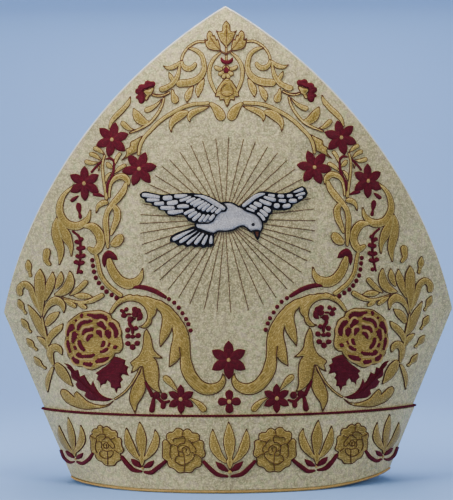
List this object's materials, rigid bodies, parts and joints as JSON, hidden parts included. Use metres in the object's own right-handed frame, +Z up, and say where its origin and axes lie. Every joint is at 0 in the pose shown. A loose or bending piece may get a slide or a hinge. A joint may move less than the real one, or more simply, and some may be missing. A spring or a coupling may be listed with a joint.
{
  "type": "bishop mitre",
  "caption": "Bishop's mitre: stiff pointed horns of cream damask over a head band, a soft gusset between them and lappets behind, with raised gold and burgundy embroidery round a dove.",
  "frame": {"origin": "middle of the head opening, on the surface that the rim stands on", "axes": "+Z up towards the horns' tips; the embroidered front faces -Y; +X is to the right of someone who looks at the front"},
  "size_m": [0.2938, 0.4703, 0.3057],
  "materials": {
    "cream_damask": "cream and pale gold brocade with large tone-on-tone figures, satin and matt weave",
    "gusset_cloth": "plain soft cream cloth",
    "gold_satin": "antique gold satin stitch with fine dark outlines",
    "burgundy_satin": "deep burgundy satin stitch",
    "silver_satin": "silver-white satin stitch with near-black outlines",
    "burgundy_cord": "dark burgundy twisted cord",
    "gold_piping": "orange gold woven piping"
  },
  "bodies": {
    "root": {"front_panel": "cream_damask", "back_panel": "cream_damask", "front_band": "cream_damask", "back_band": "cream_damask", "lappet_left": "cream_damask", "lappet_right": "cream_damask", "crown_gusset": "gusset_cloth", "band_cord": "burgundy_cord", "rim_piping": "gold_piping", "front_edge_piping": "gold_piping", "back_edge_piping": "gold_piping", "dove": "silver_satin", "arch_scroll_left": "gold_satin", "arch_scroll_right": "gold_satin", "crescent_scroll_left": "gold_satin", "crescent_scroll_right": "gold_satin", "scroll_left": "gold_satin", "scroll_right": "gold_satin", "finial_leaf": "gold_satin", "rose_left": "gold_satin", "rose_right": "gold_satin", "band_rose_1": "gold_satin", "band_rose_2": "gold_satin", "band_rose_3": "gold_satin", "band_rose_4": "gold_satin", "band_lotus_1": "gold_satin", "band_lotus_2": "gold_satin", "band_lotus_3": "gold_satin", "band_lotus_4": "gold_satin", "band_lotus_5": "gold_satin", "flower_left_1": "burgundy_satin", "flower_left_2": "burgundy_satin", "flower_left_3": "burgundy_satin", "flower_right_1": "burgundy_satin", "flower_right_2": "burgundy_satin", "flower_right_3": "burgundy_satin", "flower_centre": "burgundy_satin", "flower_foot": "burgundy_satin", "flower_low_left": "burgundy_satin", "flower_low_right": "burgundy_satin"}
  },
  "joints": []
}
